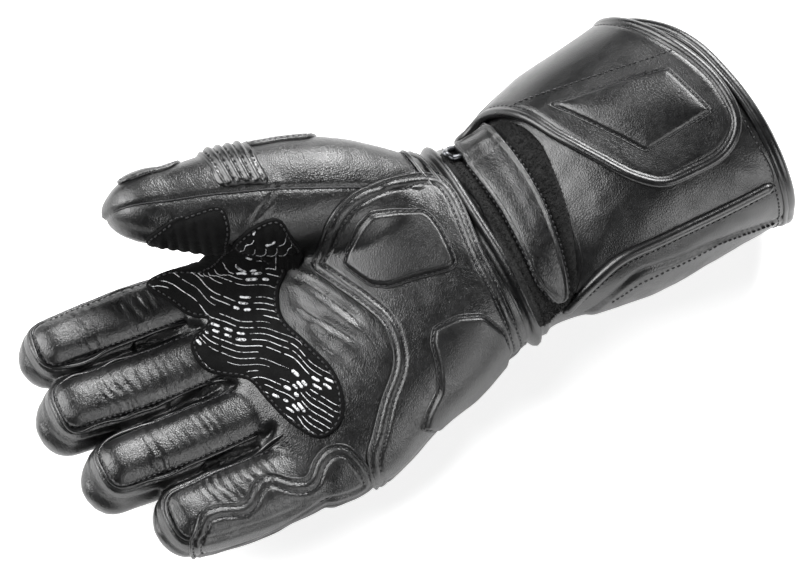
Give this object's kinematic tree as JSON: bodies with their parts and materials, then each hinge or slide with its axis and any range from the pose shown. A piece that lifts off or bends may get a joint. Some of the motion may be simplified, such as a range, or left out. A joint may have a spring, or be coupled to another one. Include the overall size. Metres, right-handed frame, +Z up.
{
  "type": "motorcycle glove",
  "caption": "Right-hand leather riding glove with a gauntlet cuff, suede grip panel, palm pads, ribbed thumb, wrist strap and closure flap, lying palm up.",
  "frame": {"origin": "middle of the object's box, on the surface it lies on", "axes": "+X along the glove from the fingertips to the cuff opening, +Y to the thumb side, +Z up, out of the palm"},
  "size_m": [0.3, 0.1462, 0.0751],
  "materials": {
    "leather": "semi-gloss grained",
    "suede": "suede with printed grip lines",
    "loop_tape": "fuzzy",
    "metal": "satin"
  },
  "bodies": {
    "root": {"palm_panel": "leather", "back_panel": "leather", "thumb_palm_panel": "leather", "thumb_back_panel": "leather", "cuff_palm_panel": "leather", "cuff_back_panel": "leather", "cuff_binding": "leather", "grip_panel": "suede", "heel_overlay": "leather", "thenar_pad": "leather", "hypothenar_pad": "leather", "side_panel": "leather", "thumb_grip_patch": "suede", "web_grip_patch": "suede", "thumb_rib_panel": "leather", "thumb_tip_panel": "leather", "thumb_knuckle_panel": "leather", "loop_patch": "loop_tape", "wrist_strap": "leather", "strap_ring": "metal", "ring_tab": "leather", "cuff_underlap": "leather", "cuff_flap": "leather", "flap_binding": "leather", "flap_pad": "leather"}
  },
  "joints": []
}
